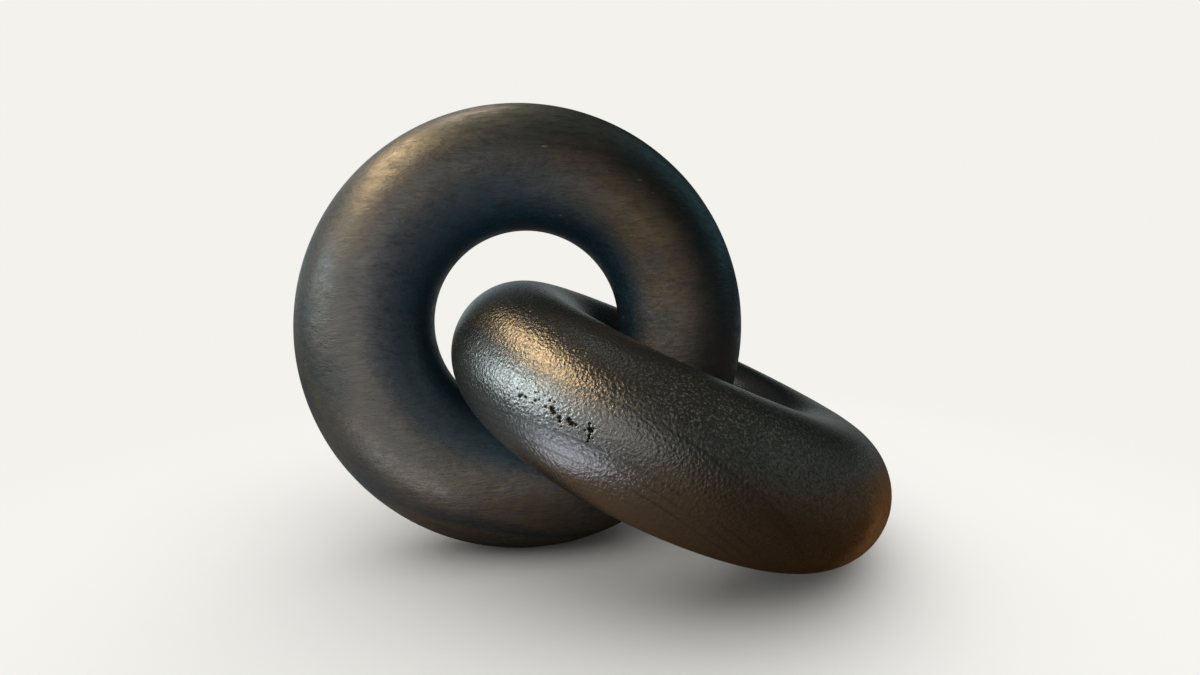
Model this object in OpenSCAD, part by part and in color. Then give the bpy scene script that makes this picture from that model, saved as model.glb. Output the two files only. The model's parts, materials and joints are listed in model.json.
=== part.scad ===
// Knot sculpture of two equal wooden rings, linked like two links of a chain.
// One ring stands on edge and leans back a little. The other passes through its
// hole and leans down to the floor. Each ring is turned on a lathe from its own
// plank. The leaning ring is cut in two halves, threaded through the upright
// ring, and joined again with glue and dowels.

/* [Rings] */
// Diameter of the hole in each ring
hole_d = 82.5; // [70:0.5:100]
// Thickness of the round bar that each ring is turned to
bar_d = 57.5; // [46:0.5:66]
// Gap between the two rings at the two places where they lean together
ring_gap = 0.3; // [0.2:0.1:1]
// Depth of the small flat that is sanded under each ring as its foot
foot_depth = 0.8; // [0.4:0.1:1.5]

/* [Stance] */
// Lean of the upright ring, in degrees for each whole share of play in the link
lean_rate = 52.2; // [40:0.1:60]
// Turn of the leaning ring towards the front, in degrees for each share of play
turn_rate = 50.7; // [40:0.1:60]
// Sag of the leaning ring from its slope in a tight link, in degrees likewise
sag_rate = 28.9; // [20:0.1:40]

/* [Glued joints] */
// Place of the front joint, in degrees round the leaning ring from its lowest point
front_joint_angle = -112; // [-150:1:-60]
// Diameter of the joint dowels
dowel_d = 10; // [6:1:12]
// Length of the joint dowels
dowel_l = 50; // [30:1:60]
// Distance between the two dowels of one joint
dowel_pitch = 24; // [16:1:30]
// Film of glue all round a dowel
glue_film = 0.1; // [0.05:0.05:0.3]
// Room for glue between a dowel's end and the bottom of its hole
glue_room = 1; // [0.5:0.5:3]
// Height of the chamfer on a dowel's end
dowel_chamfer = 1; // [0.5:0.25:1.5]
// Depth of the glue flutes along a dowel
flute_depth = 0.4; // [0.2:0.1:0.6]
// Width of a glue flute
flute_w = 1.4; // [1:0.1:1.6]
// Number of glue flutes round a dowel
flute_count = 10; // [6:1:12]

/* [Hidden] */

$fn = 128;
wood_colour = [0.17, 0.18, 0.18];
dowel_colour = [0.78, 0.62, 0.42];

// Radius from a ring's centre to the centre of its bar
ring_r = (hole_d + bar_d) / 2;
bar_r = bar_d / 2;
// Play of the bar in the hole of the other ring, as a share of the ring's radius
play_share = (ring_r - bar_d) / ring_r;

// A link with no play stands only one way: the upright ring is plumb, and each
// ring's centre lies in the bar of the other, so the leaning ring's centre sits
// at half the upright one's height above its own foot.
tight_slope = asin(1 / 2);
lean = lean_rate * play_share;
turn = -turn_rate * play_share;
slope = tight_slope - sag_rate * play_share;

// Directions at rest: X runs along the upright ring, Z up. The downhill and
// across directions lie in the plane of the leaning ring.
upright_axis = [0, -cos(lean), sin(lean)];
leaning_axis = [sin(slope) * cos(turn), sin(slope) * sin(turn), cos(slope)];
downhill = [cos(slope) * cos(turn), cos(slope) * sin(turn), -sin(slope)];
across = cross(leaning_axis, downhill);

// Both feet stand at height zero, which sets the height of each ring's centre
upright_h = ring_r * cos(lean) + bar_r - foot_depth;
leaning_h = ring_r * sin(slope) + bar_r - foot_depth;
upright_c = [0, 0, upright_h];

// Point of the leaning ring's bar centre, for a ring centre c, at angle a
function bar_point(c, a) = c + ring_r * (cos(a) * downhill + sin(a) * across);

// Gap there between the surfaces of the two rings
function gap_at(c, a) =
  let (
    w = bar_point(c, a) - upright_c,
    off_plane = w * upright_axis,
    from_axis = sqrt(w * w - off_plane * off_plane)
  )
  norm([off_plane, from_axis - ring_r]) - bar_d;

// Least gap between two angles, closing in by thirds
function least_gap(c, from, to, rounds) =
  let (a = (2 * from + to) / 3, b = (from + 2 * to) / 3)
  rounds == 0 ? gap_at(c, (from + to) / 2)
  : gap_at(c, a) < gap_at(c, b) ? least_gap(c, from, b, rounds - 1)
  : least_gap(c, a, to, rounds - 1);

// The rings lean together at two places: on the far side of the leaning ring,
// and near its top. These angles reach round each place.
far_side = [60, 135];
near_top = [160, 225];
search_rounds = 30;
function far_gap(c) = least_gap(c, far_side[0], far_side[1], search_rounds);
function top_gap(c) = least_gap(c, near_top[0], near_top[1], search_rounds);

// The leaning ring settles against the upright one: its centre shifts in X and Y
// until both gaps equal ring_gap. A small nudge each way tells how they change.
nudge_share = 1 / 5000;
nudge = ring_r * nudge_share;
function settle(c, rounds) =
  rounds == 0 ? c
  : let (
      far = far_gap(c),
      top = top_gap(c),
      far_x = (far_gap(c + [nudge, 0, 0]) - far) / nudge,
      far_y = (far_gap(c + [0, nudge, 0]) - far) / nudge,
      top_x = (top_gap(c + [nudge, 0, 0]) - top) / nudge,
      top_y = (top_gap(c + [0, nudge, 0]) - top) / nudge,
      turns = far_x * top_y - far_y * top_x,
      step_x = ((ring_gap - far) * top_y - (ring_gap - top) * far_y) / turns,
      step_y = ((ring_gap - top) * far_x - (ring_gap - far) * top_x) / turns
    )
    settle(c + [step_x, step_y, 0], rounds - 1);

// The settling starts near the tight link's place, moved by these shares of play
start_x_share = cos(tight_slope) - 0.16 * play_share;
start_y_share = -1.43 * play_share;
settle_rounds = 8;
settle_start = [ring_r * start_x_share, ring_r * start_y_share, leaning_h];
leaning_c = settle(settle_start, settle_rounds);

// How far a ring reaches from its centre along one axis of the frame
function reach(axis_part) = ring_r * sqrt(1 - axis_part * axis_part) + bar_r;

// The frame's origin is the middle of the space that both rings take, at the floor
low_x = min(-reach(upright_axis.x), leaning_c.x - reach(leaning_axis.x));
high_x = max(reach(upright_axis.x), leaning_c.x + reach(leaning_axis.x));
low_y = min(-reach(upright_axis.y), leaning_c.y - reach(leaning_axis.y));
high_y = max(reach(upright_axis.y), leaning_c.y + reach(leaning_axis.y));
middle = [(low_x + high_x) / 2, (low_y + high_y) / 2, 0];

// The back joint lies straight across the leaning ring from the front one
half_turn = 180;
back_joint_angle = front_joint_angle + half_turn;
hole_depth = dowel_l / 2 + glue_room;
dowel_hole_d = dowel_d + 2 * glue_film;
flute_r = (flute_w * flute_w / 4 + flute_depth * flute_depth) / (2 * flute_depth);

// Stands the upright ring, drawn flat round the origin, in its place
module stand_upright() {
  translate(upright_c - middle)
    rotate([90 - lean, 0, 0])
      children();
}

// Leans the other ring, drawn flat with its downhill side at +X, in its place
module lean_down() {
  translate(leaning_c - middle)
    rotate([0, slope, turn])
      children();
}

// The stretch of turned bar that a sweep of the ring's round profile makes. The
// profile starts on the line round the bar that the foot is sanded on.
module turned_bar(sweep, foot_line) {
  rotate_extrude(angle = sweep)
    translate([ring_r, 0])
      rotate([0, 0, foot_line])
        circle(d = bar_d);
}

// The room over the floor, which the sanded feet end at
module over_floor() {
  side = 2 * (high_x - low_x);
  translate([-side / 2, -side / 2, 0])
    cube([side, side, side]);
}

// Puts what is drawn round Z at a joint of the leaning ring, along the bar
module at_joint(joint_angle, level) {
  rotate([0, 0, joint_angle])
    translate([ring_r, 0, level * dowel_pitch / 2])
      rotate([90, 0, 0])
        children();
}

// The four dowel holes, each pair cut through the joint's two faces at once
module dowel_holes() {
  for (joint_angle = [front_joint_angle, back_joint_angle], level = [-1, 1])
    at_joint(joint_angle, level)
      cylinder(h = 2 * hole_depth, d = dowel_hole_d, center = true);
}

// Half of the leaning ring, from one joint to the other
module ring_half(joint_angle) {
  color(wood_colour)
    intersection() {
      lean_down()
        difference() {
          rotate([0, 0, joint_angle])
            turned_bar(half_turn, slope - 90);
          dowel_holes();
        }
      over_floor();
    }
}

// Beech dowel with chamfered ends and glue flutes
module dowel() {
  tip_d = dowel_d - 2 * dowel_chamfer;
  straight_h = dowel_l - 2 * dowel_chamfer;
  difference() {
    union() {
      cylinder(h = straight_h, d = dowel_d, center = true);
      for (way = [0, 1])
        mirror([0, 0, way])
          translate([0, 0, straight_h / 2])
            cylinder(h = dowel_chamfer, d1 = dowel_d, d2 = tip_d);
    }
    for (i = [0 : flute_count - 1])
      rotate([0, 0, i * 360 / flute_count])
        translate([dowel_d / 2 - flute_depth + flute_r, 0, 0])
          cylinder(h = 2 * dowel_l, r = flute_r, center = true);
  }
}

module joint_dowel(joint_angle, level) {
  color(dowel_colour)
    lean_down()
      at_joint(joint_angle, level)
        dowel();
}

module upright_ring() {
  color(wood_colour)
    intersection() {
      stand_upright() turned_bar(2 * half_turn, -lean);
      over_floor();
    }
}

module leaning_ring_lower_half() {
  ring_half(front_joint_angle);
}

module leaning_ring_upper_half() {
  ring_half(back_joint_angle);
}

module front_dowel_high() {
  joint_dowel(front_joint_angle, 1);
}

module front_dowel_low() {
  joint_dowel(front_joint_angle, -1);
}

module back_dowel_high() {
  joint_dowel(back_joint_angle, 1);
}

module back_dowel_low() {
  joint_dowel(back_joint_angle, -1);
}

upright_ring();
leaning_ring_lower_half();
leaning_ring_upper_half();
front_dowel_high();
front_dowel_low();
back_dowel_high();
back_dowel_low();
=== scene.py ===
# %% [markdown]
# # A knot of two linked wooden rings
#
# The object is an ornament for a shelf: two equal rings of near-black wood, linked
# like two links of a chain. One stands on edge and leans back a little. The other
# passes through its hole and leans down to the table.
#
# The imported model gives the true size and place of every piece. Here the rings get
# their surface: a turned and stained wood with fine grain, a leathery lacquer, a
# few small pits and one short crack. The frame comes first, because everything
# else is measured from it.

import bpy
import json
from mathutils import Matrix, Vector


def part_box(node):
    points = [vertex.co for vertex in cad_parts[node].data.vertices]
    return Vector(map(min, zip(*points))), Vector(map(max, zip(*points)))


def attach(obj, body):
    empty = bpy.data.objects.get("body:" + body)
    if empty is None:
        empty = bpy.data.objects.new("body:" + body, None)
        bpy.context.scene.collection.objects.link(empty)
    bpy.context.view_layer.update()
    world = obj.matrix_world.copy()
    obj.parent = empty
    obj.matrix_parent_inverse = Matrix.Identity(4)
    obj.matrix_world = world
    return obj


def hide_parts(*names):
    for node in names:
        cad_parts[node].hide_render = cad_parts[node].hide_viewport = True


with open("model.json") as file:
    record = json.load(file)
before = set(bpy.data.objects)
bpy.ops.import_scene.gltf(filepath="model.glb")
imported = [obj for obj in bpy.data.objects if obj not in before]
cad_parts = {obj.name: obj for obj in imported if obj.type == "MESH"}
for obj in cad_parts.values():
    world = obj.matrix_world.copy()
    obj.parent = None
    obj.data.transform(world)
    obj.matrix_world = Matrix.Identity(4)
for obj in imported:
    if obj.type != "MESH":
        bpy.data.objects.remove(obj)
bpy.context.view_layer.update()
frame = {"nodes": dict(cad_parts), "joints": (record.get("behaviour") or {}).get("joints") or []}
print("pieces in the frame:", ", ".join(sorted(frame["nodes"])))

# %% Blender and the number tools
import json
import math
import random

import bpy
import numpy as np
from mathutils import Matrix, Quaternion, Vector, geometry, noise

MM = 0.001
print("Blender", bpy.app.version_string)

# %% [markdown]
# ## Where the rings are
#
# A ring, or torus, is known by its centre, its axis, the radius of its ring and the
# radius of its bar. The four dowels of the leaning ring sit at its two glued joints,
# so their middles give that ring's centre, axis and radius at once. The joint of the
# model turns round the upright ring's own axis, so it gives the other centre and
# axis. Reading them from the model is safer than typing them again.

# %% Measure the leaning ring
def middle_of(node):
    low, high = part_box(node)
    return (low + high) / 2


dowels = {name: middle_of(name) for name in frame["nodes"] if "dowel" in name}
front_joint = (dowels["front_dowel_high"] + dowels["front_dowel_low"]) / 2
back_joint = (dowels["back_dowel_high"] + dowels["back_dowel_low"]) / 2
leaning_centre = (front_joint + back_joint) / 2
leaning_axis = (dowels["front_dowel_high"] - dowels["front_dowel_low"]).normalized()
RING_R = (front_joint - back_joint).length / 2
print(f"ring radius {RING_R / MM:.2f} mm")

# %% Measure the upright ring
swing = frame["joints"][0]
upright_centre = Vector(swing["pos_m"])
upright_axis = Vector(swing["axis"]).normalized()
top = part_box("upright_ring")[1].z
BAR_R = top - upright_centre.z - RING_R * math.sqrt(1 - upright_axis.z**2)
OUTER_R = RING_R + BAR_R
print(f"bar radius {BAR_R / MM:.2f} mm")

# %% [markdown]
# Each ring is drawn flat round its own origin and then placed by a matrix. Its X
# axis points downhill for the leaning ring and along the table for the upright one,
# and its Z axis is the ring's axis. A place on a ring is then two angles: how far
# along the ring, and how far around the bar, from the outer edge towards the axis.
# The matrix goes into the mesh, so the piece itself sits at the frame's origin.

# %% Place each ring by a matrix
def ring_matrix(centre, axis, first):
    """Matrix with its Z along the axis and its X as near to first as that allows."""
    z = axis.normalized()
    x = (first - first.dot(z) * z).normalized()
    y = z.cross(x)
    return Matrix.Translation(centre) @ Matrix((x, y, z)).transposed().to_4x4()


UPRIGHT = ring_matrix(upright_centre, upright_axis, Vector((1, 0, 0)))
LEANING = ring_matrix(leaning_centre, leaning_axis, Vector((0, 0, -1)))
joint_spot = LEANING.inverted() @ front_joint
JOINT_ANGLE = math.degrees(math.atan2(joint_spot.y, joint_spot.x))
print(f"front joint at {JOINT_ANGLE:.1f} degrees along the leaning ring")


# %% Check the upright ring's numbers against the model
def typical_gap(place, node):
    """Middle value of how far the node's points lie from the ring that was measured."""
    gaps = []
    for v in frame["nodes"][node].data.vertices:
        p = place.inverted() @ v.co
        gaps.append(abs(math.hypot(p.z, math.hypot(p.x, p.y) - RING_R) - BAR_R))
    return sorted(gaps)[len(gaps) // 2]


print(f"typical gap to the model {typical_gap(UPRIGHT, 'upright_ring') / MM:.4f} mm")

# %% [markdown]
# ## The form of the surface
#
# A hand-finished ring is never a perfect torus. The sander leaves long shallow
# waves, and on the near side of the leaning ring the wood has small pits and a
# short crack where the glue joint comes to the surface. These change the outline
# of highlights, so they are real geometry. Every change goes inwards, so the rings
# stay clear of each other and inside the model's box.

# %% Long shallow waves left by sanding
WAVE_DEPTH = 0.22 * MM
WAVE_LENGTH = 38 * MM
SLOW_SHARE, QUICK_SHARE = 0.72, 0.28
QUICK_RATE = 2.7
SEED_STEP = 7.3


def wave(point, seed):
    """Depth of the sanding waves at a point in the ring's own frame."""
    spot = Vector(point) / WAVE_LENGTH + Vector((seed * SEED_STEP, 0, 0))
    slow = 0.5 + 0.5 * noise.noise(spot)
    quick = 0.5 + 0.5 * noise.noise(spot * QUICK_RATE)
    return WAVE_DEPTH * (SLOW_SHARE * slow + QUICK_SHARE * quick)


print(f"waves up to {WAVE_DEPTH / MM:.2f} mm deep")

# %% [markdown]
# The pits lie along the outer edge of the bar, just uphill of the front joint. The
# larger ones are listed one by one, as angle along the ring, angle around the bar,
# and radius and depth in millimetres. Small pinholes are scattered round them from
# a fixed seed, so that each run makes the same ring.

# %% Pits and pinholes
PITS = [
    (-131.4, -8.2, 0.50, 0.5), (-130.3, -8.4, 0.35, 0.4), (-129.9, -0.6, 0.45, 0.5),
    (-131.2, -4.6, 0.40, 0.4), (-128.7, -3.9, 0.75, 0.8), (-127.3, -2.4, 0.60, 0.8),
    (-128.2, -2.6, 0.45, 0.6), (-125.6, 3.7, 0.40, 0.5), (-124.9, 5.1, 0.35, 0.4),
    (-124.9, -0.8, 0.55, 0.7), (-125.3, -3.2, 0.45, 0.5), (-124.2, 1.1, 0.45, 0.5),
    (-123.4, 5.3, 0.35, 0.4), (-122.3, -0.5, 0.60, 0.7), (-122.0, 4.3, 0.55, 0.6),
    (-121.0, 5.0, 0.50, 0.5), (-120.9, 0.4, 0.95, 1.0), (-120.2, -1.0, 0.85, 1.0),
    (-119.6, 1.6, 0.45, 0.5), (-118.8, -2.0, 0.80, 0.9), (-118.4, -4.2, 0.65, 0.8),
    (-117.7, -6.4, 0.50, 0.6), (-117.4, 3.0, 0.40, 0.4), (-116.8, -0.2, 0.90, 1.1),
    (-116.0, -1.4, 0.95, 1.1), (-115.2, -0.6, 0.60, 0.8), (-114.4, -2.2, 0.30, 0.3),
    (-113.9, 1.4, 0.40, 0.4), (-113.2, -0.9, 0.50, 0.6), (-112.9, 4.2, 0.50, 0.7),
    (-112.4, 1.2, 0.95, 1.2), (-111.5, 3.3, 0.40, 0.5), (-111.3, -3.1, 0.45, 0.6),
    (-110.9, -4.4, 0.35, 0.4), (-108.6, -0.8, 0.30, 0.3), (-134.2, 2.1, 0.30, 0.3),
]
PINHOLES = 34
PINHOLE_MIDDLE = -119
scatter = random.Random(11)
for _ in range(PINHOLES):
    along = scatter.triangular(-137, -106, PINHOLE_MIDDLE)
    around = scatter.gauss(-0.1 * (along - PINHOLE_MIDDLE), 4.5)
    PITS.append((along, around, scatter.uniform(0.16, 0.30), scatter.uniform(0.15, 0.3)))
print(f"{len(PITS)} pits and pinholes, the deepest {max(pit[3] for pit in PITS):.1f} mm")

# %% [markdown]
# Each pit is a small steep bowl. Sines of the place make its rim ragged, as torn
# wood is, and where two pits meet the deeper one counts.

# %% Depth of the pits
RAGGED = 0.16
STEEP = 1.25
BOWL = 0.6


def pit_depth(along, around):
    """Depth of the pits at arrays of angles, in metres."""
    arc = np.radians(along) * OUTER_R
    level = np.radians(around) * BAR_R
    rag = np.sin(arc / MM * 5.1 + 3 * np.sin(level / MM * 3.3))
    rag = rag + np.sin(level / MM * 6.3 + 2 * np.sin(arc / MM * 4.1))
    depth = np.zeros_like(arc)
    for a, b, radius, deep in PITS:
        dx = arc - math.radians(a) * OUTER_R
        dy = level - math.radians(b) * BAR_R
        far = np.sqrt(dx * dx + dy * dy) / (radius * MM)
        far = far * (1 + RAGGED * rag)
        hole = np.clip(STEEP * (1 - far), 0, 1) ** BOWL
        depth = np.maximum(depth, deep * MM * hole)
    return depth


# %% [markdown]
# The crack is the glue joint itself, open for a few millimetres. Both halves of
# the ring get it, each on its own side of the joint. It wanders a little from side
# to side, and it closes towards both of its ends.

# %% The crack at the front joint
CRACK_TOP, CRACK_LOW = 5.0, -9.5
CRACK_DEEP = 1.3 * MM
CLOSING = 4.2


def crack_depth(along, around):
    """Depth of the open stretch of the joint at arrays of angles, in metres."""
    off = np.radians(along - JOINT_ANGLE) * OUTER_R / MM
    level = (around - CRACK_LOW) / (CRACK_TOP - CRACK_LOW)
    inside = np.clip(CLOSING * level, 0, 1) * np.clip(CLOSING * (1 - level), 0, 1)
    bend = 0.22 * np.sin(around * 0.9) + 0.12 * np.sin(around * 2.7)
    width = 0.12 + 0.34 * inside * (0.6 + 0.4 * np.sin(around * 1.7 + 1))
    groove = np.clip(1 - np.abs(off - bend) / width, 0, 1)
    return CRACK_DEEP * groove * inside


print(f"crack {math.radians(CRACK_TOP - CRACK_LOW) * BAR_R / MM:.1f} mm long")

# %% [markdown]
# ## A ring as a grid
#
# A stretch of ring is a grid of points over two lists of angles. The lists are
# closer together where the pits are, so the detail costs faces only there.

# %% Angle lists
def steps(*spans):
    """Joins spans of (from, to, step) into one list of angles."""
    out = [spans[0][0]]
    for low, high, step in spans:
        n = max(1, round((high - low) / step))
        out += [low + (high - low) * (i + 1) / n for i in range(n)]
    return np.array(out)


COARSE, FINE = 2.4, 0.34
around_list = steps((-180, -14, COARSE), (-14, 10, FINE), (10, 180, COARSE))[:-1]
print("points around the bar:", len(around_list))

# %% [markdown]
# Under each ring the points that would reach below the table are drawn back onto
# it. That gives the small flat that the real ring is sanded to, so that it stands.

# %% Points of the skin
def sand_foot(place, points, out):
    """Draws points below the table back onto it, along the bar's radius."""
    up = np.array(place.to_3x3())[2]
    height = points @ up + place.translation.z
    slope = out @ up
    low = height < 0
    points[low] -= out[low] * (height[low] / slope[low])[:, None]


def skin_points(place, along_list, wave_seed, pitted):
    """Points of a skin, and in millimetres how deep its pits and crack are there."""
    along, around = np.meshgrid(along_list, around_list, indexing="ij")
    turned = np.radians(along)
    centre_line = np.stack([np.cos(turned), np.sin(turned), 0 * turned], -1)
    out = centre_line * np.cos(np.radians(around))[..., None]
    out[..., 2] = np.sin(np.radians(around))
    points = centre_line * RING_R + out * BAR_R
    depth = np.array([wave(p, wave_seed) for p in points.reshape(-1, 3)])
    depth = depth.reshape(along.shape)
    sunk = np.zeros_like(depth)
    if pitted:
        within = (along + 180) % 360 - 180
        sunk = np.maximum(pit_depth(within, around), crack_depth(within, around))
    points = points - out * np.maximum(depth, sunk)[..., None]
    sand_foot(place, points, out)
    return [Vector(p) for p in points.reshape(-1, 3)], list(sunk.ravel() / MM)


# %% [markdown]
# The pieces also get a flat map, to bake their finish on. The grid is its own map:
# a whole ring fills two strips, one for each half turn, and a half fills one. So the
# map has no folds and little stretch.

# %% Faces and map of the skin
MAP_EDGE_U, MAP_EDGE_V = 0.004, 0.006


def skin_faces(cols, spans, strips, map_high):
    """Faces of a grid of points, and the map's corners for each of them."""
    rows = len(around_list)

    def at(i, j):
        return (i % cols) * rows + j % rows

    def on_map(u, v, strip):
        high = (strip + MAP_EDGE_V + (1 - 2 * MAP_EDGE_V) * v) / strips * map_high
        return MAP_EDGE_U + (1 - 2 * MAP_EDGE_U) * u, high

    faces, corners = [], []
    per_strip = spans // strips
    for i in range(spans):
        strip, step = divmod(i, per_strip)
        u0, u1 = step / per_strip, (step + 1) / per_strip
        for j in range(rows):
            v0, v1 = j / rows, (j + 1) / rows
            faces.append((at(i, j), at(i + 1, j), at(i + 1, j + 1), at(i, j + 1)))
            corners += [on_map(u, v, strip)
                        for u, v in ((u0, v0), (u1, v0), (u1, v1), (u0, v1))]
    return faces, corners


# %% [markdown]
# A face of a glued joint is a disc with the two dowel holes in it. A Delaunay
# triangulation joins the rim and the two hole circles, and each hole gets its wall
# and its bottom. Nobody sees them while the glue holds, but the pieces are whole.

# %% Flat face of a joint
PITCH = (dowels["front_dowel_high"] - dowels["front_dowel_low"]).length
HOLE_R, HOLE_DEEP, HOLE_SIDES = 5.1 * MM, 26 * MM, 32
SAME_POINT = 1e-9


def joint_face(rim):
    """The two hole circles in a flat rim, and the triangles between them and it.

    The triangles count the rim's points first, and then those of each circle."""
    turn = [2 * math.pi * i / HOLE_SIDES for i in range(HOLE_SIDES)]
    middles = [Vector((0, side * PITCH / 2)) for side in (-1, 1)]
    circles = [[Vector((HOLE_R * math.cos(t), middle.y + HOLE_R * math.sin(t)))
                for t in turn] for middle in middles]
    edges, start = [], 0
    for size in (len(rim), HOLE_SIDES, HOLE_SIDES):
        edges += [(start + i, start + (i + 1) % size) for i in range(size)]
        start += size
    points, _, faces, origin, _, _ = geometry.delaunay_2d_cdt(
        [*rim, *circles[0], *circles[1]], edges, [], 0, SAME_POINT)
    kept = []
    for face in faces:
        centre = sum((points[i] for i in face), Vector((0, 0))) / 3
        if all((centre - middle).length > HOLE_R * 0.98 for middle in middles):
            kept.append([origin[i][0] for i in face])
    return circles, kept


print(f"dowel holes {PITCH / MM:.1f} mm apart")

# %% [markdown]
# On the map, the two joint faces of a half lie in a narrow strip above its skin. A
# square there is a little wider than the bar.

# %% Close one end of a half
SKIN_HIGH = 0.95
END_CORNER, END_SIDE, END_STEP = (0.02, 0.955), 0.04, 0.06
SQUARE_WIDE = 2.1 * BAR_R


def close_end(flat, rim_ids, angle, end):
    """Adds a joint face with its holes: points to flat, faces and map as the result."""
    radial = Vector((math.cos(angle), math.sin(angle), 0))
    inward = Vector((-math.sin(angle), math.cos(angle), 0)) * (-1 if end else 1)
    hub = radial * RING_R
    rim = [Vector(((flat[k] - hub).dot(radial), flat[k].z)) for k in rim_ids]
    circles, kept = joint_face(rim)
    ids, walls = list(rim_ids), []
    for circle in circles:
        mouth = [len(flat) + k for k in range(HOLE_SIDES)]
        flat += [hub + radial * c.x + Vector((0, 0, c.y)) for c in circle]
        floor = [len(flat) + k for k in range(HOLE_SIDES)]
        flat += [flat[k] + inward * HOLE_DEEP for k in mouth]
        ids += mouth
        walls += zip(mouth, mouth[1:] + mouth[:1], floor[1:] + floor[:1], floor)
        walls.append(floor[::-1])
    faces = [[ids[k] for k in face] for face in kept] + walls
    if end == 0:
        faces = [face[::-1] for face in faces]

    def on_map(k):
        u = 0.5 + (flat[k] - hub).dot(radial) / SQUARE_WIDE
        v = 0.5 + (flat[k] - hub).z / SQUARE_WIDE
        return END_CORNER[0] + END_SIDE * u + END_STEP * end, END_CORNER[1] + END_SIDE * v

    return faces, [on_map(k) for face in faces for k in face]


# %% [markdown]
# The piece is put together from these. It also carries the depth of its hollows as
# an attribute, because the finish is different in them.

# %% Build a ring, or half of one
CREASE = math.radians(62)


def ring_piece(name, place, along_list, wave_seed, half):
    """A whole ring, or a pitted half with its joint faces, as a Blender object."""
    columns = along_list if half else along_list[:-1]
    flat, sunk = skin_points(place, columns, wave_seed, pitted=half)
    cols, rows = len(columns), len(around_list)
    if half:
        faces, corners = skin_faces(cols, cols - 1, 1, SKIN_HIGH)
        for end, i in ((0, 0), (1, cols - 1)):
            rim_ids = range(i * rows, (i + 1) * rows)
            more = close_end(flat, rim_ids, math.radians(columns[i]), end)
            faces, corners = faces + more[0], corners + more[1]
    else:
        faces, corners = skin_faces(cols, cols, 2, 1.0)
    sunk += [0.0] * (len(flat) - len(sunk))

    mesh = bpy.data.meshes.new(name)
    mesh.from_pydata([tuple(p) for p in flat], [], faces)
    layer = mesh.uv_layers.new(name="OFBake")
    layer.data.foreach_set("uv", np.array(corners, np.float32).ravel())
    note = mesh.attributes.new("sunk", "FLOAT", "POINT")
    note.data.foreach_set("value", np.array(sunk, np.float32))
    mesh.validate()
    mesh.shade_smooth()
    mesh.set_sharp_from_angle(angle=CREASE)
    mesh.transform(place)
    made = bpy.data.objects.new(name, mesh)
    bpy.context.scene.collection.objects.link(made)
    print(f"{name}: {len(flat)} points, {len(faces)} faces")
    return made


# %% [markdown]
# ## The three wooden pieces
#
# The upright ring is one turned piece. The leaning ring is sawn in two, threaded
# through, and glued up again at the two joints. Its front joint lies among the
# pits, so both halves have their close steps next to it.

# %% Upright ring
upright_list = steps((-90, 270, 1.0))
upright = ring_piece("upright_ring_wood", UPRIGHT, upright_list, wave_seed=0, half=False)
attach(upright, "upright_ring")
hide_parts("upright_ring")

# %% Two halves of the leaning ring
ALONG_FINE = 0.16
cut = JOINT_ANGLE
lower_list = steps((cut, cut + 8, ALONG_FINE), (cut + 8, cut + 180, 1.0))
upper_list = steps((cut + 180, cut + 333, 1.0), (cut + 333, cut + 360, ALONG_FINE))
lower = ring_piece("leaning_lower_wood", LEANING, lower_list, wave_seed=1, half=True)
upper = ring_piece("leaning_upper_wood", LEANING, upper_list, wave_seed=1, half=True)
for piece, node in ((lower, "leaning_ring_lower_half"), (upper, "leaning_ring_upper_half")):
    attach(piece, "leaning_ring")
    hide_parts(node)

# %% [markdown]
# ## Shader sums as Python
#
# A material is a graph of nodes, but most of it is plain arithmetic. One small
# class stands for an output socket. When two of them are added or multiplied in
# Python, it adds the Math node, or for colours and vectors the Mix or Vector Math
# node, that does the same in the shader.

# %% The class
class Wire:
    """An output socket of a node tree. Sums of wires add the nodes that work them out."""

    def __init__(self, tree, socket=None):
        self.tree, self.socket = tree, socket

    def node(self, kind, settings=None, *values, **named):
        """Adds a node: its type, its settings, then the values or wires of its sockets."""
        made = self.tree.nodes.new("ShaderNode" + kind)
        for key, value in (settings or {}).items():
            setattr(made, key, value)
        sockets = [s for s in made.inputs if s.enabled]
        pairs = list(zip(sockets, values))
        for key, value in named.items():
            name = key.replace("_", " ")
            pairs.append((next(s for s in sockets if s.name == name), value))
        for socket, value in pairs:
            if isinstance(value, Wire):
                self.tree.links.new(value.socket, socket)
            else:
                socket.default_value = value
        return Wire(self.tree, next((s for s in made.outputs if s.enabled), None))

    def out(self, name):
        """Another output of the same node."""
        return Wire(self.tree, self.socket.node.outputs[name])

    def _sum(self, operation, first, second):
        kinds = {w.socket.type for w in (first, second) if isinstance(w, Wire)}
        if "RGBA" in kinds:
            pair = [(w, w, w, 1) if isinstance(w, (int, float)) else w for w in (first, second)]
            return self.node("Mix", {"data_type": "RGBA", "blend_type": operation}, 1.0, *pair)
        if "VECTOR" in kinds:
            pair = [(w, w, w) if isinstance(w, (int, float)) else w for w in (first, second)]
            return self.node("VectorMath", {"operation": operation}, *pair)
        return self.node("Math", {"operation": operation}, first, second)

    def __add__(self, other):
        return self._sum("ADD", self, other)

    def __radd__(self, other):
        return self._sum("ADD", other, self)

    def __sub__(self, other):
        return self._sum("SUBTRACT", self, other)

    def __rsub__(self, other):
        return self._sum("SUBTRACT", other, self)

    def __mul__(self, other):
        return self._sum("MULTIPLY", self, other)

    def __rmul__(self, other):
        return self._sum("MULTIPLY", other, self)


# %% Masks that read like sentences
def rise(value, low, high):
    """0 below low, 1 above high, and smooth between."""
    return value.node("MapRange", {"interpolation_type": "SMOOTHSTEP"},
                      value, low, high, 0.0, 1.0)


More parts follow.
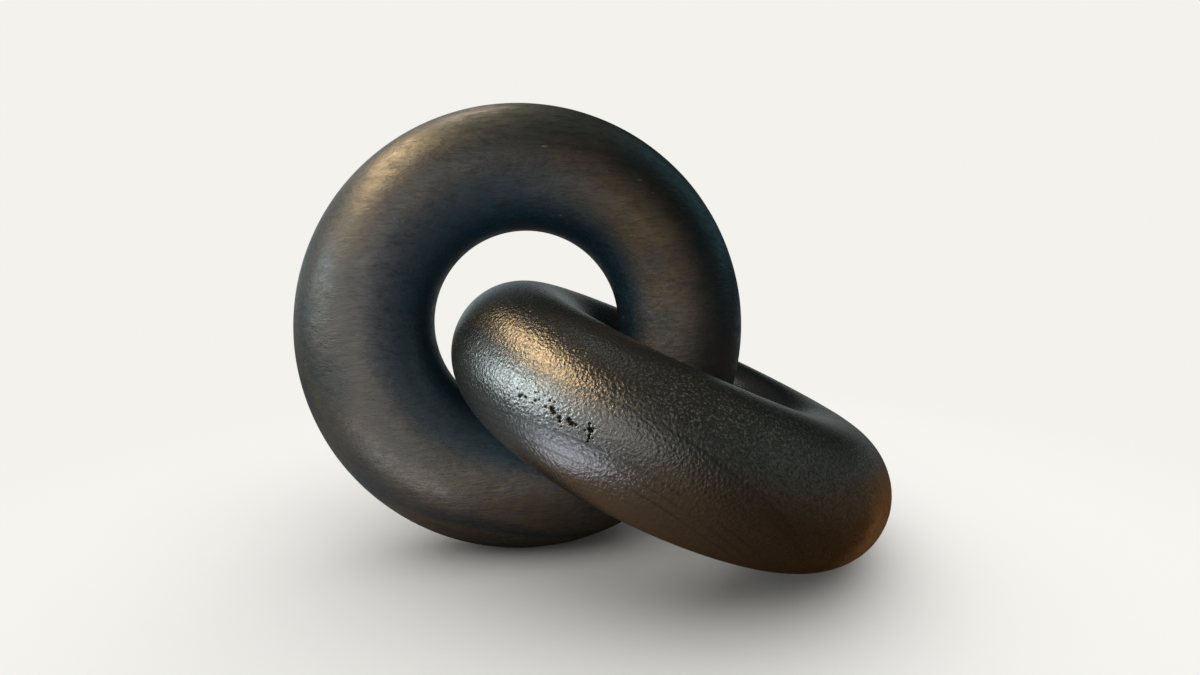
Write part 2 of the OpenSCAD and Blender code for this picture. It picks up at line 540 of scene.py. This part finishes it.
def bell(value, middle, width):
    """1 at the middle, falling smoothly to 0 at width on both sides."""
    off = value.node("Math", {"operation": "ABSOLUTE"}, value - middle)
    return 1 - rise(off, 0.0, width)


def larger(first, second):
    """The larger of a value and a wire, or of two wires."""
    return second.node("Math", {"operation": "MAXIMUM"}, first, second)


def length_of(vector):
    """How long a vector is, as a value."""
    return vector.node("VectorMath", {"operation": "LENGTH"}, vector).out("Value")


# %% Colours, noise and a new material
def blend(share, first, second):
    """A colour that goes from the first to the second as share goes from 0 to 1."""
    return share.node("Mix", {"data_type": "RGBA"}, share, first, second)


def speckle(place, scale, detail=2.0, roughness=0.5):
    """A noise between 0 and 1 at a place in millimetres, with that many spots per mm."""
    return place.node("TexNoise", None, place, Scale=scale, Detail=detail, Roughness=roughness)


def new_material(name):
    """An empty material, and a wire that adds nodes to it."""
    material = bpy.data.materials.new(name)
    material.use_nodes = True
    tree = material.node_tree
    tree.nodes.clear()
    return material, Wire(tree)


# %% [markdown]
# ## Ebonised wood
#
# The rings are stained near black and closed with a thin lacquer. Close up there
# are five things to see: fine fibres and short pores along the plank's grain,
# arched growth lines, a leathery pebble where the lacquer drew up on the near side,
# brown where the stain has worn thin, with a painted reflection of a warm table in
# it, and a few pale nicks. Some sheen, reflections and shade are painted into the
# colour as well.
#
# Each ring is cut from its own plank, with the grain along the ring's X axis and
# the plank's face square to the ring's axis. So the fibres are a noise stretched
# along X, and the growth lines are layers of Z that arch a little along X. The
# shader turns the piece's own coordinates into the ring's, so the grain stays in the
# wood when the ring moves.

# %% Places on the ring, inside a shader
class RingPlaces:
    """Where a point is on its ring: millimetres from the centre, and degrees."""

    def __init__(self, w, ring, seed):
        spot = (w.node("TexCoord").out("Object") - tuple(ring.translation)) * (1 / MM)
        self.x, self.y, self.z = (
            w.node("VectorMath", {"operation": "DOT_PRODUCT"}, spot, tuple(axis)).out("Value")
            for axis in ring.to_3x3().transposed())
        self.place = w.node("CombineXYZ", None, self.x, self.y, self.z)
        self.seeded = self.place + (SEED_STEP * seed, 0.0, 0.0)
        radius = w.node("Math", {"operation": "SQRT"}, self.x * self.x + self.y * self.y)
        off = radius - RING_R / MM
        self.along = self.angle(self.y, self.x)
        self.around = self.angle(self.z, off)
        self.outward = off * (MM / BAR_R)

    @staticmethod
    def angle(rise_part, run_part):
        turn = run_part.node("Math", {"operation": "ARCTAN2"}, rise_part, run_part)
        return turn * (180 / math.pi)


# %% [markdown]
# Wood grain is made of stretched noises. Long fibres are stretched most. Pores are
# short dark dashes, so their noise is stretched less and only its peaks are kept.

# %% Grain that both rings share
def stretched(spots, squeeze, scale, detail=2.0, roughness=0.6):
    """A noise that is drawn out along the grain. A small squeeze draws it out more."""
    return speckle(spots.seeded * (squeeze, 1.0, 1.0), scale, detail, roughness)


def fibres_of(spots):
    return stretched(spots, 0.05, 1.5, 3.0)


def pores_of(spots):
    return rise(stretched(spots, 0.17, 1.7), 0.59, 0.70)


def clouds_of(spots, scale):
    """Slow soft patches, wider than they are high."""
    return stretched(spots, 0.5, scale, 2.0, 0.55)


# %% [markdown]
# Growth lines are layers of the old trunk. Layers that are flat in the middle of a
# plank and turn up towards its ends show as arches on its face. The layer number
# below is the height in the plank plus such an arch. Bands come from a noise of that
# number alone, and a few dark lines are placed at chosen layers.

# %% Growth layers
ARCH_MIDDLE = -25.0
ARCH_RISE = 0.0045
WOBBLE = 3.0


def layer_of(spots):
    off = spots.x - ARCH_MIDDLE
    wobble = speckle(spots.seeded * (0.4, 1.0, 0.4), 0.05, 1.0)
    return spots.z + off * off * ARCH_RISE + (wobble - 0.5) * WOBBLE


def bands_of(spots, layer):
    place = layer.node("CombineXYZ", None, layer, spots.y * 0.03, spots.x * 0.02)
    return speckle(place, 0.20, 2.0)


def lines_at(spots, layer, lines):
    """Thin lines at the layers of a list of (layer, half width in mm, strength)."""
    total = 0.0
    for where, width, strength in lines:
        total = total + bell(layer, where, width) * strength
    return total * rise(speckle(spots.seeded, 0.06, 1.0), 0.30, 0.50)


# %% [markdown]
# A nick shows the pale wood under the stain. Each is a small ellipsoid in the ring's
# own millimetres: a place, and three half sizes.

# %% Nicks
def nicks_at(spots, nicks):
    shown = 0.0
    for at, size in nicks:
        far = length_of((spots.place - at) * tuple(1 / s for s in size))
        shown = larger(shown, 1 - rise(far, 0.6, 1.0))
    return shown


UPRIGHT_NICKS = [
    ((6.8, 71.2, 28.7), (1.6, 0.35, 1.0)), ((-54.1, 41.1, 28.7), (0.9, 0.25, 1.0)),
    ((47.4, 57.0, 28.5), (1.3, 0.30, 1.0)), ((52.8, 51.3, 28.5), (0.5, 0.20, 1.0)),
    ((13.8, 44.5, 16.7), (1.2, 0.25, 0.5)), ((33.2, 60.7, 28.7), (0.2, 0.50, 1.0)),
    ((41.9, -0.2, 6.2), (1.0, 0.90, 0.8)),
]
LEANING_NICKS = [
    ((-70.5, -53.3, 22.1), (0.5, 0.5, 0.4)), ((-90.9, -38.5, 1.1), (0.3, 0.3, 0.3)),
    ((-83.0, -53.0, 3.9), (0.5, 0.5, 1.0)), ((-86.3, -47.9, -1.6), (0.4, 0.4, 0.3)),
    ((-83.0, -53.5, -0.4), (0.4, 0.4, 0.4)),
]
print(f"{len(UPRIGHT_NICKS)} nicks on the upright ring, {len(LEANING_NICKS)} on the leaning one")

# %% [markdown]
# The stain is navy on the upright ring and soot on the leaning one, and dark umber
# where the grain drank less of it. Fibres and pores are darker again.

# %% Stain
NAVY = (0.0060, 0.0098, 0.0130, 1)
SOOT = (0.0048, 0.0058, 0.0055, 1)
UMBER = (0.0215, 0.0170, 0.0115, 1)
PORE = (0.0030, 0.0032, 0.0032, 1)
NICK = (0.1500, 0.1480, 0.1200, 1)


def stain(spots, bands, pores, dark, umber):
    """The dark stain, with a share of umber in its bands."""
    thin = rise(bands * 0.6 + clouds_of(spots, 0.035) * 0.4, 0.38, 0.62)
    colour = blend(thin * umber, dark, UMBER)
    colour = blend(rise(fibres_of(spots), 0.50, 0.80) * 0.6, colour, dark)
    return blend(pores * 0.8, colour, PORE)


# %% [markdown]
# The lacquer's gloss is the shader's specular level, which is the same all over a
# ring, and its roughness varies. Where the lacquer has gone dull, or is missing in a
# hollow, a dark wood has almost no shine left. A share of metal takes it away: a
# metal mirrors only in its own colour, and here that colour is nearly black.

# %% Lacquer
def lacquered(colour, rough, height, gloss, dull):
    bump = height.node("Bump", None, Strength=1.0, Distance=1.0 * MM, Height=height)
    shader = colour.node("BsdfPrincipled", None, Base_Color=colour, Roughness=rough,
                         Normal=bump, Metallic=dull, Specular_IOR_Level=gloss)
    colour.node("OutputMaterial", None, shader)


# %% [markdown]
# ### The upright ring
#
# It has a satin finish. Towards the hole and on its wall the colour is a painted
# deep blue, the shade inside the hole. Beside the hole a warm brown reflection is
# painted on the right and a bluish sheen on the left. A greenish-grey sheen is
# painted along the top, where the light from above falls, and a blue-green
# reflection along the far edge on the right.

# %% Colours of the upright ring
HOLE_SHADE_BLUE = (0.0090, 0.0220, 0.0335, 1)
LEFT_SHEEN, LEFT_SHEEN_SIDE = (0.0250, 0.0285, 0.0370, 1), 177.0
TOP_SHEEN = (0.0370, 0.0440, 0.0400, 1)
BROWN_SHEEN = (0.0640, 0.0430, 0.0210, 1)
HOLE_WALL_SHADE = (0.0020, 0.0132, 0.0240, 1)
RIGHT_EDGE_REFLECTION = (0.0055, 0.0205, 0.0225, 1)


def upright_colour(spots, bands, pores, clouds, sheen_patch):
    # painted shade: the umber fades out on the right, so that side is darker
    umber = 1 - bell(spots.along, -5.0, 85.0) * 0.75
    colour = stain(spots, bands, pores, NAVY, umber)
    # painted shade: a deep blue towards the hole, the shade inside it
    colour = blend(1 - rise(spots.outward, -0.42, -0.12), colour, HOLE_SHADE_BLUE)
    # painted reflection: a lighter bluish sheen beside the hole on the left
    # the angle jumps from 180 to -180 on the left, so two bells make one patch there
    left = bell(spots.along, LEFT_SHEEN_SIDE, 80.0) + bell(spots.along, LEFT_SHEEN_SIDE - 360.0, 80.0)
    colour = blend(left * bell(spots.around, 106.0, 24.0), colour, LEFT_SHEEN)
    # painted sheen: a lighter greenish grey along the top, where light falls from above
    top_sheen = bell(spots.along, 98.0, 75.0) * rise(spots.outward, 0.05, 0.60)
    colour = blend(top_sheen * 0.9, colour, TOP_SHEEN)
    # painted reflection: a warm brown sheen beside the hole on the right
    colour = blend(sheen_patch * rise(clouds, 0.10, 0.60) * 0.9, colour, BROWN_SHEEN)
    # painted shade: the hole's wall is the deepest blue
    colour = blend(1 - rise(spots.outward, -0.98, -0.55), colour, HOLE_WALL_SHADE)
    # painted reflection: blue-green along the far edge on the right, the dim room mirrored
    edge = bell(spots.along, 25.0, 85.0) * rise(spots.outward, 0.35, 0.80)
    return blend(edge * 0.8, colour, RIGHT_EDGE_REFLECTION)


# %% [markdown]
# Its lacquer was rubbed by hand along the grain. Short streaks and broader rubs
# change its roughness and its height together, and low lumps bend the highlights.
# On the right the lacquer is dull.

# %% Finish of the upright ring
def upright_finish():
    material, w = new_material("ebonised_wood_upright")
    spots = RingPlaces(w, UPRIGHT, 3)
    bands, pores = bands_of(spots, layer_of(spots)), pores_of(spots)
    fibres, clouds = fibres_of(spots), clouds_of(spots, 0.06)
    # where the brown reflection is painted; the lacquer is also rougher and duller there
    sheen_patch = bell(spots.around, 115.0, 52.0) * bell(spots.along, 25.0, 85.0)
    nick = nicks_at(spots, UPRIGHT_NICKS)
    streaks = stretched(spots, 0.22, 0.60)
    rubs = stretched(spots, 0.45, 0.30, 4.0, 0.7)
    lumps = speckle(spots.seeded, 0.13, 2.0)

    colour = upright_colour(spots, bands, pores, clouds, sheen_patch)
    colour = blend(nick * 0.45, colour, NICK)
    colour = blend(rise(streaks, 0.46, 0.66) * (0.6 - sheen_patch * 0.35), colour, NAVY)
    rough = 0.40 + (clouds - 0.5) * 0.16 + (rubs - 0.5) * 0.60 + sheen_patch * 0.30
    rough = rough + pores * 0.12 + nick * 0.2 + (streaks - 0.5) * 0.25
    height = fibres * 0.07 + streaks * 0.14 + rubs * 0.18 + lumps * 0.26
    height = height - pores * 0.03 - nick * 0.05
    right = bell(spots.along, 46.0, 92.0) * (1 - rise(spots.around, 98.0, 128.0))
    lacquered(colour, rough, height, 0.5, larger(right * 0.72, sheen_patch * 0.60))
    return material


upright_wood = upright_finish()
upright.data.materials.append(upright_wood)
print(f"{upright_wood.name}: {len(upright_wood.node_tree.nodes)} nodes")

# %% [markdown]
# ### The leaning ring
#
# Its lacquer is glossier and has drawn up into a fine leathery pebble, about a
# millimetre across, on the whole near side. A cell pattern gives the grains and a
# crumpled noise breaks their order. The rest of the ring has only a faint grain.

# %% Pebble of the lacquer
def pebble_of(spots):
    near = rise(spots.along, -172.0, -148.0) * (1 - rise(spots.along, -62.0, 5.0))
    near = near * bell(spots.around, 15.0, 150.0)
    cells = near.node("TexVoronoi", {"feature": "SMOOTH_F1"}, spots.place, Scale=0.82,
                      Smoothness=0.25)
    crumple = near.node("TexNoise", None, spots.place, Scale=0.92, Detail=2.5,
                        Roughness=0.55, Distortion=0.7)
    return (cells * 0.145 + crumple * 0.21) * near + speckle(spots.place, 0.9, 2.0) * 0.09


# %% [markdown]
# The stain has worn to rust at the lowest end, which rubs on the table, and to brown
# along the underside, where the wood is also duller. Both colours also carry a painted
# reflection of a warm wooden table below. Both are broken up by darker specks. The
# growth lines show round the front joint and fade towards the low end. Uphill of the
# joint the uppermost one is fainter, where the highlights are.

# %% Worn stain with a painted table reflection, and growth lines
LEANING_LINES = [(11.8, 1.0, 0.8), (-3.3, 0.9, 0.8), (-7.0, 0.7, 0.6), (-10.6, 0.8, 0.7)]


def worn_and_reflected_places(spots, clouds):
    """Two masks: rust with a painted warm table reflection at the low end, and brown with the
    same painted reflection along the underside.
    """
    rust_and_reflection = rise(spots.along, -53.0, -43.0) * (1 - rise(spots.along, 5.0, 45.0))
    rust_and_reflection = rust_and_reflection * bell(spots.around, 2.0, 62.0)
    brown_and_reflection = (1 - rise(spots.around, -55.0, -8.0)) * bell(spots.along, -55.0, 80.0)
    return rust_and_reflection * rise(clouds, 0.15, 0.55), brown_and_reflection * rise(clouds, 0.05, 0.50)


def leaning_lines(spots, layer):
    """The growth lines that show on the near side of the leaning ring."""
    lines = lines_at(spots, layer, LEANING_LINES) * (1 - rise(spots.along, -92.0, -58.0))
    start = 1 - rise(spots.along, -121.0, -107.0)
    return lines * (1 - start * rise(layer, 0.0, 8.0) * 0.7)


# %% [markdown]
# Between the joint and the low end a lighter greenish tone is painted along the
# shoulder, a reflection of the dim blue-green room. A little higher round the bar, on
# its crest, fine pale glints are painted into the colour as highlights on the
# lacquer's grains. A soot-dark mottle breaks up the stain on the whole ring.

# %% Colours of the leaning ring
RUST_AND_REFLECTION = (0.1900, 0.0820, 0.0170, 1)
BROWN_AND_REFLECTION = (0.0220, 0.0088, 0.0018, 1)
SHOULDER_SHEEN = (0.0300, 0.0345, 0.0300, 1)
PAINTED_GLINT = (0.0480, 0.0540, 0.0500, 1)
HOLLOW = (0.0050, 0.0055, 0.0050, 1)


def leaning_colour(spots, clouds, colour, rust_and_reflection, brown_and_reflection, specks):
    """Wears the stain away from a colour, paints in a warm table reflection and a greenish
    shoulder sheen, and mottles it.
    """
    # painted reflection: a lighter greenish tone along the shoulder
    thin = rise(spots.along, -100.0, -72.0) * (1 - rise(spots.along, -40.0, 0.0))
    thin = thin * bell(spots.around, 34.0, 42.0)
    colour = blend(thin * rise(clouds, 0.20, 0.50), colour, SHOULDER_SHEEN)
    # worn stain with a painted reflection of a warm table: brown along the underside
    colour = blend(brown_and_reflection * (1 - specks * 0.7), colour, BROWN_AND_REFLECTION)
    # worn stain with a painted reflection of a warm table: rust at the low end
    colour = blend(rust_and_reflection * (1 - specks * 0.6), colour, RUST_AND_REFLECTION)
    mottle = rise(speckle(spots.seeded, 0.95, 3.0, 0.7), 0.44, 0.60)
    return blend(mottle * 0.75, colour, SOOT)


def painted_glints_of(spots):
    crest = bell(spots.around, 50.0, 42.0) * rise(spots.along, -118.0, -98.0)
    crest = crest * (1 - rise(spots.along, -85.0, -20.0))
    return rise(speckle(spots.seeded, 1.05, 2.0, 0.6), 0.52, 0.66) * crest


# %% [markdown]
# In the pits and the crack the bare hollow is black and has no shine. The mesh
# carries their depth in millimetres, and the finish starts to change at 0.08 mm.

# %% Finish of the leaning ring
def leaning_finish():
    material, w = new_material("ebonised_wood_leaning")
    spots = RingPlaces(w, LEANING, 8)
    layer = layer_of(spots)
    bands, pores = bands_of(spots, layer), pores_of(spots)
    fibres, clouds = fibres_of(spots), clouds_of(spots, 0.06)
    lines, painted_glints = leaning_lines(spots, layer), painted_glints_of(spots)
    rust_and_reflection, brown_and_reflection = worn_and_reflected_places(spots, clouds)
    specks = rise(speckle(spots.seeded, 0.50, 2.0), 0.60, 0.70)
    sunk = w.node("Attribute", {"attribute_name": "sunk"}).out("Fac")
    hollow = rise(sunk, 0.08, 0.50)

    colour = blend(lines * 0.8, stain(spots, bands, pores, SOOT, 0.25), PORE)
    colour = leaning_colour(spots, clouds, colour, rust_and_reflection, brown_and_reflection, specks)
    # painted highlight: fine pale glints on the crest
    colour = blend(painted_glints, colour, PAINTED_GLINT)
    colour = blend(nicks_at(spots, LEANING_NICKS), colour, NICK)
    colour = blend(hollow, colour, HOLLOW)
    worn_and_reflection = larger(rust_and_reflection, brown_and_reflection)
    rough = 0.25 + (clouds - 0.5) * 0.10 + (fibres - 0.5) * 0.06
    rough = rough + worn_and_reflection * 0.16 + hollow * 0.6 + lines * 0.10 + specks * 0.12
    height = pebble_of(spots) * (1 - worn_and_reflection * 0.3) + fibres * 0.03 - lines * 0.04
    height = height - pores * 0.02 - specks * worn_and_reflection * 0.06 + painted_glints * 0.05
    lacquered(colour, rough, height, 0.9, larger(hollow * 0.75, lines * 0.45))
    return material


leaning_wood = leaning_finish()
for piece in (lower, upper):
    piece.data.materials.append(leaning_wood)
print(f"{leaning_wood.name}: {len(leaning_wood.node_tree.nodes)} nodes")

# %% [markdown]
# ## Beech dowels
#
# The dowels are pale beech with short dark flecks along the grain. They sit in
# their holes inside the leaning ring, so their model shape is kept as it is and
# only the finish is new.

# %% Beech
BEECH_DARK = (0.50, 0.33, 0.18, 1)
BEECH_PALE = (0.62, 0.44, 0.27, 1)
FLECK = (0.25, 0.14, 0.07, 1)


def beech_finish():
    material, w = new_material("beech")
    place = w.node("TexCoord").out("Object") * (1 / MM)
    flecks = speckle(place * (1.0, 1.0, 0.3), 1.2, 3.0)
    colour = blend(speckle(place, 0.12, 2.0), BEECH_DARK, BEECH_PALE)
    colour = blend(rise(flecks, 0.60, 0.72) * 0.5, colour, FLECK)
    bump = w.node("Bump", None, Strength=0.4, Distance=0.1 * MM, Height=flecks)
    rough = 0.55 + 0.2 * (flecks - 0.5)
    shader = w.node("BsdfPrincipled", None, Base_Color=colour, Roughness=rough,
                    Normal=bump, Specular_IOR_Level=0.4)
    w.node("OutputMaterial", None, shader)
    return material


beech = beech_finish()
for name in dowels:
    node = frame["nodes"][name]
    if not node.material_slots:
        node.data.materials.append(beech)
    for slot in node.material_slots:
        slot.material = beech
print("dowels finished:", len(dowels))

# %% [markdown]
# ## Table and backdrop
#
# The ornament stands on a pale table in front of a pale backdrop. Near the ring
# the table is an ordinary matt surface, so that it takes the shadow. Further out
# it fades into an even glow of the same colour, and the backdrop has that colour
# too, so no edge shows.
#
# The glow is for the camera. Shiny surfaces see it too, but at a smaller share: the
# room that the lacquer mirrors is dim, and the full glow would draw a chalky line
# along every dark edge. Matt light comes from the table itself and from the lamps.

# %% Who sees the glow
PALE = (0.896, 0.888, 0.847, 1)


def seen_by(w, shiny_share):
    """How much of the glow a ray sees, and whether it is a mirror or glass ray.

    The camera sees all of it, shiny rays see the share, and matt rays see none."""
    ray = w.node("LightPath")
    shiny = larger(ray.out("Is Glossy Ray"), ray.out("Is Transmission Ray"))
    return larger(ray.out("Is Camera Ray"), shiny * shiny_share), shiny


# %% [markdown]
# The lacquer mirrors a wooden table top. To the left it is grey with the window's
# light, then warm and bright, then a deep brown on the right and darker at the back.
# Right under the upright ring it is in shadow.

# %% Pale table
PAPER = (0.93, 0.92, 0.88, 1)
BRIGHT_WOOD, DEEP_WOOD = (0.68, 0.41, 0.22, 1), (0.15, 0.062, 0.014, 1)
WINDOW_GREY = (0.30, 0.32, 0.33, 1)
BACK_GREY = (0.05, 0.06, 0.07, 1)
UNDER_RING = (0.05, 0.045, 0.04, 1)


def mirrored_table(across, back):
    """The colour that shiny rays see on the table, from its two directions in metres."""
    wood = blend(rise(across, -0.07, 0.07), BRIGHT_WOOD, DEEP_WOOD)
    wood = blend(rise(across, -0.12, -0.06), WINDOW_GREY, wood)
    wood = blend(rise(back, -0.02, 0.22), wood, BACK_GREY)
    under = bell(across, -0.04, 0.07) * rise(back, -0.046, -0.022)
    return blend(under, wood, UNDER_RING)


def table_finish():
    material, w = new_material("pale_table")
    spot = w.node("TexCoord").out("Object")
    far = rise(length_of(spot), 0.14, 0.42)
    parts = spot.node("SeparateXYZ", None, spot)
    across, back = parts.out("X"), parts.out("Y")
    seen, shiny = seen_by(w, rise(back, 0.10, 0.50) * 0.25)
    paper = w.node("BsdfDiffuse", None, blend(shiny, PAPER, mirrored_table(across, back)))
    glow = w.node("Emission", None, PALE, 1.0)
    w.node("OutputMaterial", None, w.node("MixShader", None, far * seen, paper, glow))
    return material


# %% The table itself
TABLE_R = 4
bpy.ops.mesh.primitive_circle_add(vertices=96, radius=TABLE_R, fill_type="NGON")
table = bpy.context.object
table.name = "table"
table.data.materials.append(table_finish())
print(f"table {2 * TABLE_R} m across")

# %% [markdown]
# The world is the rest of what the lacquer mirrors. Low and straight behind the
# ornament it is the pale backdrop, at a share. To the left and in front it is a lit
# wall, which turns blue-grey towards the back. Overhead is a grey ceiling, and to
# the right a dim blue-green room. For matt light it is a plain even grey.

# %% Backdrop and room
BACKDROP_SHARE = 0.42
BACKDROP_SHINE = (0.800, 0.900, 0.870, 1)
WALL_FRONT, WALL_BACK = (0.90, 0.88, 0.83, 1), (0.37, 0.48, 0.56, 1)
ROOM_FRONT, ROOM_BACK = (0.052, 0.078, 0.078, 1), (0.012, 0.019, 0.019, 1)
CEILING = (0.12, 0.12, 0.11, 1)
EVEN_GREY = (0.46, 0.46, 0.46, 1)


def mirrored_room(right, back, up):
    """The colour that shiny rays see in a direction."""
    wall = blend(rise(back, -0.35, 0.45), WALL_FRONT, WALL_BACK)
    deep = blend(rise(back, 0.0, 0.5), ROOM_FRONT, ROOM_BACK)
    room = blend(rise(right, -0.50, 0.30), wall, deep)
    return blend(rise(up, 0.50, 0.92), room, CEILING)


def backdrop():
    world = bpy.data.worlds.new("studio")
    bpy.context.scene.world = world
    world.use_nodes = True
    world.node_tree.nodes.clear()
    w = Wire(world.node_tree)
    way = w.node("SeparateXYZ", None, w.node("TexCoord").out("Generated"))
    right, back, up = way.out("X"), way.out("Y"), way.out("Z")
    behind = rise(back, 0.66, 0.95) * (1 - rise(up, 0.10, 0.31))
    seen, shiny = seen_by(w, BACKDROP_SHARE * behind)
    room = blend(shiny, EVEN_GREY, mirrored_room(right, back, up))
    pale = w.node("Background", None, blend(shiny, PALE, BACKDROP_SHINE), 1.0)
    dim = w.node("Background", None, room, 1.0)
    w.node("OutputWorld", None, w.node("MixShader", None, seen, dim, pale))
    return world


studio = backdrop()
print(f"{studio.name}: {len(studio.node_tree.nodes)} nodes")

# %% [markdown]
# ## Light
#
# The light is soft panels. Each shines on the whole ornament or on one ring only,
# which is done by linking the lamp to a collection, and the camera sees none. The
# table has its own wide panel overhead, so it stays even and takes a soft shadow.

# %% Who is lit together
def together(name, pieces):
    group = bpy.data.collections.new(name)
    for piece in pieces:
        group.objects.link(piece)
    return group


dowel_pieces = [frame["nodes"][name] for name in dowels]
ornament = together("ornament", [upright, lower, upper, *dowel_pieces])
upright_only = together("upright_only", [upright])
leaning = together("leaning", [lower, upper])
stage_set = together("stage_set", [table])

# %% A soft panel
EYE_LEVEL = (0, 0, 0.07)


def panel(name, azimuth, elevation, distance, size, radiance, colour, shines_on,
          aim=EYE_LEVEL, roll=0):
    """Azimuth 0 is straight in front and 90 is on the right, both in degrees."""
    a, e = math.radians(azimuth), math.radians(elevation)
    way = Vector((math.sin(a) * math.cos(e), -math.cos(a) * math.cos(e), math.sin(e)))
    light = bpy.data.lights.new(name, "AREA")
    light.shape, (light.size, light.size_y) = "RECTANGLE", size
    light.energy, light.color = radiance * math.pi * size[0] * size[1], colour
    made = bpy.data.objects.new(name, light)
    made.location = Vector(aim) + way * distance
    turn = way.to_track_quat("Z", "Y") @ Quaternion((0, 0, 1), math.radians(roll))
    made.rotation_euler = turn.to_euler()
    made.visible_camera = False
    bpy.context.scene.collection.objects.link(made)
    made.light_linking.receiver_collection = shines_on
    print(f"{name}: {light.energy:.2f} W on {shines_on.name}")
    return made


# %% [markdown]
# A cool panel stands on the left like a tall window, and a lower one carries its
# light along the side of the leaning ring. A warm one hangs above them and gives the
# golden highlights, and a small one behind carries the gold on along the top of the
# upright ring. On the right a dim blue-green panel draws that ring's edge, and high
# at the back a small one lights the glints on the leaning ring.

# %% Window and lamps
COOL, WARM = (0.84, 0.98, 0.96), (1.0, 0.70, 0.38)
WARM_PALE, SEA, WALL = (1.0, 0.80, 0.58), (0.42, 0.86, 1.0), (1.0, 0.97, 0.92)
panel("window", -74, 19, 0.95, (0.60, 0.30), 5.4, COOL, ornament)
panel("low_window", -86, 12, 0.95, (0.60, 0.34), 9.5, COOL, leaning)
panel("warm_panel", -84, 53, 1.10, (1.00, 0.27), 17.5, WARM, ornament, roll=-12)
panel("warm_behind", -158, 58, 1.10, (0.36, 0.18), 8.0, WARM_PALE, upright_only)
panel("dim_room", 105, 36, 1.10, (0.90, 0.90), 0.42, SEA, upright_only)
panel("skylight", 150, 76, 1.10, (0.20, 0.14), 2.4, WALL, leaning)

# %% [markdown]
# Faint wide panels in front on the left are the wall that the window lights, one for
# each ring. Small ones that face up from the table there are the patch of table that
# the window falls on. The leaning ring mirrors it in lavender, and the upright ring
# in a warmer tone.

# %% Wall, patch and table lamp
PATCH_SIZE, PATCH_SPOT, ABOVE_TABLE = (0.15, 0.11), (-0.155, -0.115, 0.0), 0.002
LAVENDER, CREAM, WHITE = (0.87, 0.90, 1.0), (1.0, 0.91, 0.82), (1.0, 1.0, 1.0)
panel("wall_on_upright", -22, 15, 1.20, (1.10, 0.85), 2.0, WALL, upright_only)
panel("wall_on_leaning", -36, 6, 1.20, (0.90, 0.90), 1.25, WALL, leaning)
for name, strength, colour, ring in (("patch_on_leaning", 4.8, LAVENDER, leaning),
                                     ("patch_on_upright", 4.5, CREAM, upright_only)):
    patch = panel(name, 0, 90, ABOVE_TABLE, PATCH_SIZE, strength, colour, ring,
                  aim=PATCH_SPOT)
    patch.rotation_euler = (math.pi, 0, 0)
panel("table_lamp", 0, 89, 1.30, (3.20, 3.20), 0.90, WHITE, stage_set)

# %% [markdown]
# ## Camera
#
# The camera's place, aim and lens come from fitting the two rings to the outlines
# of the photograph. The small shift puts the rings where the picture frames them.

# %% Camera
PICTURE_WIDE = 1200
SENSOR_WIDE = 36
FOCAL_PIXELS, SHIFT_PIXELS = 671.346, (-5.035, -31.339)
right = Vector((0.98296, -0.18322, -0.01486))
up = Vector((0.03053, 0.08298, 0.99608))
ahead = Vector((0.18127, 0.97956, -0.08716))
stand = Vector((-47.115, -284.685, 129.343)) * MM
camera = bpy.data.objects.new("camera", bpy.data.cameras.new("camera"))
facing = Matrix((right, up, -ahead)).transposed().to_4x4()
camera.matrix_world = Matrix.Translation(stand) @ facing
camera.data.sensor_width = SENSOR_WIDE
camera.data.lens = SENSOR_WIDE * FOCAL_PIXELS / PICTURE_WIDE
camera.data.shift_x, camera.data.shift_y = (s / PICTURE_WIDE for s in SHIFT_PIXELS)
camera.data.clip_start = 0.01
bpy.context.scene.collection.objects.link(camera)
bpy.context.scene.camera = camera
bpy.context.scene.view_settings.view_transform = "Standard"
print(f"lens {camera.data.lens:.2f} mm")
